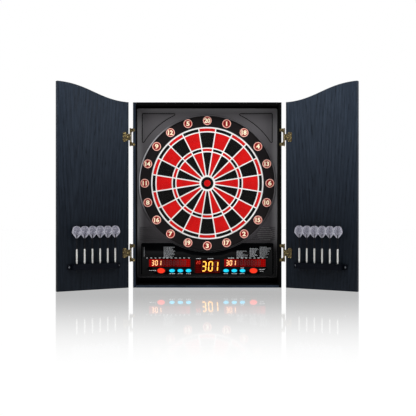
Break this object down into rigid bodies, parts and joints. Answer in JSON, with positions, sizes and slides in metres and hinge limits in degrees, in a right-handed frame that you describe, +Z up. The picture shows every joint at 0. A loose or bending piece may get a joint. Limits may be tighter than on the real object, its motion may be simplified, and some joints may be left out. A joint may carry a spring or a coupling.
{
  "type": "dart board cabinet",
  "caption": "Wall cabinet with two crested doors on brass hinges, dart racks with soft-tip darts, and an electronic dart board with displays and buttons.",
  "frame": {"origin": "on the wall plane, the back face of the case, level with the middle of the bullseye", "axes": "+X to the right for someone facing the board, +Y into the wall, +Z up"},
  "size_m": [0.9114, 0.2193, 0.632],
  "materials": {
    "navy_wood": "satin",
    "black_wood": "satin",
    "antique_brass": "satin",
    "rack_plastic": "satin",
    "dart_metal": "satin",
    "charcoal_plastic": "satin",
    "rear_plastic": "satin",
    "number_ring_plastic": "satin",
    "web_white": "satin",
    "segment_black": "satin",
    "segment_red": "satin",
    "membrane_film": "satin",
    "hardboard": "matte",
    "panel_gloss": "gloss",
    "display_lens": "gloss",
    "circuit_green": "satin",
    "speaker_metal": "satin",
    "button_red": "satin",
    "button_cyan": "satin",
    "badge_red": "satin",
    "badge_ring": "satin",
    "badge_cream": "satin",
    "digit_glow": "satin",
    "flight_film": "satin",
    "dart_shaft": "satin",
    "screw_metal": "satin",
    "panel_print": "matte"
  },
  "bodies": {
    "cabinet": {"side_panel_left": "navy_wood", "side_panel_right": "navy_wood", "top_panel": "navy_wood", "bottom_panel": "navy_wood", "back_panel": "black_wood", "front_housing": "charcoal_plastic", "rear_cover": "rear_plastic", "number_ring": "number_ring_plastic", "spider": "web_white", "contact_membrane": "membrane_film", "backing_board": "hardboard", "control_panel": "panel_gloss", "display_window_left": "display_lens", "display_window_centre": "display_lens", "display_window_right": "display_lens", "circuit_board": "circuit_green", "speaker": "speaker_metal", "power_socket": "rear_plastic", "hinge_upper_left_case_leaf": "antique_brass", "hinge_upper_left_pin": "antique_brass", "hinge_lower_left_case_leaf": "antique_brass", "hinge_lower_left_pin": "antique_brass", "hinge_upper_right_case_leaf": "antique_brass", "hinge_upper_right_pin": "antique_brass", "hinge_lower_right_case_leaf": "antique_brass", "hinge_lower_right_pin": "antique_brass"},
    "left_door": {"door_left": "navy_wood", "dart_rack_left": "rack_plastic", "hinge_upper_left_door_leaf": "antique_brass", "hinge_lower_left_door_leaf": "antique_brass"},
    "right_door": {"door_right": "navy_wood", "dart_rack_right": "rack_plastic", "hinge_upper_right_door_leaf": "antique_brass", "hinge_lower_right_door_leaf": "antique_brass"},
    "dart_left_1": {"dart_left_1": "dart_metal"},
    "dart_left_2": {"dart_left_2": "dart_metal"},
    "dart_left_3": {"dart_left_3": "dart_metal"},
    "dart_left_4": {"dart_left_4": "dart_metal"},
    "dart_left_5": {"dart_left_5": "dart_metal"},
    "dart_left_6": {"dart_left_6": "dart_metal"},
    "dart_right_1": {"dart_right_1": "dart_metal"},
    "dart_right_2": {"dart_right_2": "dart_metal"},
    "dart_right_3": {"dart_right_3": "dart_metal"},
    "dart_right_4": {"dart_right_4": "dart_metal"},
    "dart_right_5": {"dart_right_5": "dart_metal"},
    "dart_right_6": {"dart_right_6": "dart_metal"},
    "button_left_1": {"button_left_1": "button_cyan"},
    "button_left_2": {"button_left_2": "button_cyan"},
    "button_left_3": {"button_left_3": "button_cyan"},
    "button_left_large": {"button_left_large": "button_red"},
    "button_right_1": {"button_right_1": "button_cyan"},
    "button_right_2": {"button_right_2": "button_cyan"},
    "button_right_3": {"button_right_3": "button_cyan"},
    "button_right_large": {"button_right_large": "button_red"},
    "double_ring": {"double_ring": "segment_black"},
    "outer_single_ring": {"outer_single_ring": "segment_black"},
    "triple_ring": {"triple_ring": "segment_black"},
    "inner_single_ring": {"inner_single_ring": "segment_black"},
    "outer_bull": {"outer_bull": "segment_black"},
    "bullseye": {"bullseye": "segment_red"}
  },
  "joints": [
    {"name": "left_door_hinge", "type": "hinge", "parent": "cabinet", "child": "left_door", "pos_m": [-0.2425, -0.0916, 0], "axis": [0, 0, -1], "range_deg": [-148, 32]},
    {"name": "right_door_hinge", "type": "hinge", "parent": "cabinet", "child": "right_door", "pos_m": [0.2425, -0.0916, 0], "axis": [0, 0, 1], "range_deg": [-148, 32]},
    {"name": "dart_left_1_lift", "type": "slide", "parent": "left_door", "child": "dart_left_1", "axis": [0, 0, 1], "range_m": [0, 0.035]},
    {"name": "dart_left_2_lift", "type": "slide", "parent": "left_door", "child": "dart_left_2", "axis": [0, 0, 1], "range_m": [0, 0.035]},
    {"name": "dart_left_3_lift", "type": "slide", "parent": "left_door", "child": "dart_left_3", "axis": [0, 0, 1], "range_m": [0, 0.035]},
    {"name": "dart_left_4_lift", "type": "slide", "parent": "left_door", "child": "dart_left_4", "axis": [0, 0, 1], "range_m": [0, 0.035]},
    {"name": "dart_left_5_lift", "type": "slide", "parent": "left_door", "child": "dart_left_5", "axis": [0, 0, 1], "range_m": [0, 0.035]},
    {"name": "dart_left_6_lift", "type": "slide", "parent": "left_door", "child": "dart_left_6", "axis": [0, 0, 1], "range_m": [0, 0.035]},
    {"name": "dart_right_1_lift", "type": "slide", "parent": "right_door", "child": "dart_right_1", "axis": [0, 0, 1], "range_m": [0, 0.035]},
    {"name": "dart_right_2_lift", "type": "slide", "parent": "right_door", "child": "dart_right_2", "axis": [0, 0, 1], "range_m": [0, 0.035]},
    {"name": "dart_right_3_lift", "type": "slide", "parent": "right_door", "child": "dart_right_3", "axis": [0, 0, 1], "range_m": [0, 0.035]},
    {"name": "dart_right_4_lift", "type": "slide", "parent": "right_door", "child": "dart_right_4", "axis": [0, 0, 1], "range_m": [0, 0.035]},
    {"name": "dart_right_5_lift", "type": "slide", "parent": "right_door", "child": "dart_right_5", "axis": [0, 0, 1], "range_m": [0, 0.035]},
    {"name": "dart_right_6_lift", "type": "slide", "parent": "right_door", "child": "dart_right_6", "axis": [0, 0, 1], "range_m": [0, 0.035]},
    {"name": "button_left_1_press", "type": "slide", "parent": "cabinet", "child": "button_left_1", "axis": [0, 1, 0], "range_m": [0, 0.0013], "stiffness_N_per_m": 600},
    {"name": "button_left_2_press", "type": "slide", "parent": "cabinet", "child": "button_left_2", "axis": [0, 1, 0], "range_m": [0, 0.0013], "stiffness_N_per_m": 600},
    {"name": "button_left_3_press", "type": "slide", "parent": "cabinet", "child": "button_left_3", "axis": [0, 1, 0], "range_m": [0, 0.0013], "stiffness_N_per_m": 600},
    {"name": "button_left_large_press", "type": "slide", "parent": "cabinet", "child": "button_left_large", "axis": [0, 1, 0], "range_m": [0, 0.0013], "stiffness_N_per_m": 600},
    {"name": "button_right_1_press", "type": "slide", "parent": "cabinet", "child": "button_right_1", "axis": [0, 1, 0], "range_m": [0, 0.0013], "stiffness_N_per_m": 600},
    {"name": "button_right_2_press", "type": "slide", "parent": "cabinet", "child": "button_right_2", "axis": [0, 1, 0], "range_m": [0, 0.0013], "stiffness_N_per_m": 600},
    {"name": "button_right_3_press", "type": "slide", "parent": "cabinet", "child": "button_right_3", "axis": [0, 1, 0], "range_m": [0, 0.0013], "stiffness_N_per_m": 600},
    {"name": "button_right_large_press", "type": "slide", "parent": "cabinet", "child": "button_right_large", "axis": [0, 1, 0], "range_m": [0, 0.0013], "stiffness_N_per_m": 600},
    {"name": "double_ring_press", "type": "slide", "parent": "cabinet", "child": "double_ring", "axis": [0, 1, 0], "range_m": [0, 0.0012], "stiffness_N_per_m": 2500},
    {"name": "outer_single_ring_press", "type": "slide", "parent": "cabinet", "child": "outer_single_ring", "axis": [0, 1, 0], "range_m": [0, 0.0012], "stiffness_N_per_m": 2500},
    {"name": "triple_ring_press", "type": "slide", "parent": "cabinet", "child": "triple_ring", "axis": [0, 1, 0], "range_m": [0, 0.0012], "stiffness_N_per_m": 2500},
    {"name": "inner_single_ring_press", "type": "slide", "parent": "cabinet", "child": "inner_single_ring", "axis": [0, 1, 0], "range_m": [0, 0.0012], "stiffness_N_per_m": 2500},
    {"name": "outer_bull_press", "type": "slide", "parent": "cabinet", "child": "outer_bull", "axis": [0, 1, 0], "range_m": [0, 0.0012], "stiffness_N_per_m": 900},
    {"name": "bullseye_press", "type": "slide", "parent": "cabinet", "child": "bullseye", "axis": [0, 1, 0], "range_m": [0, 0.0012], "stiffness_N_per_m": 900}
  ]
}
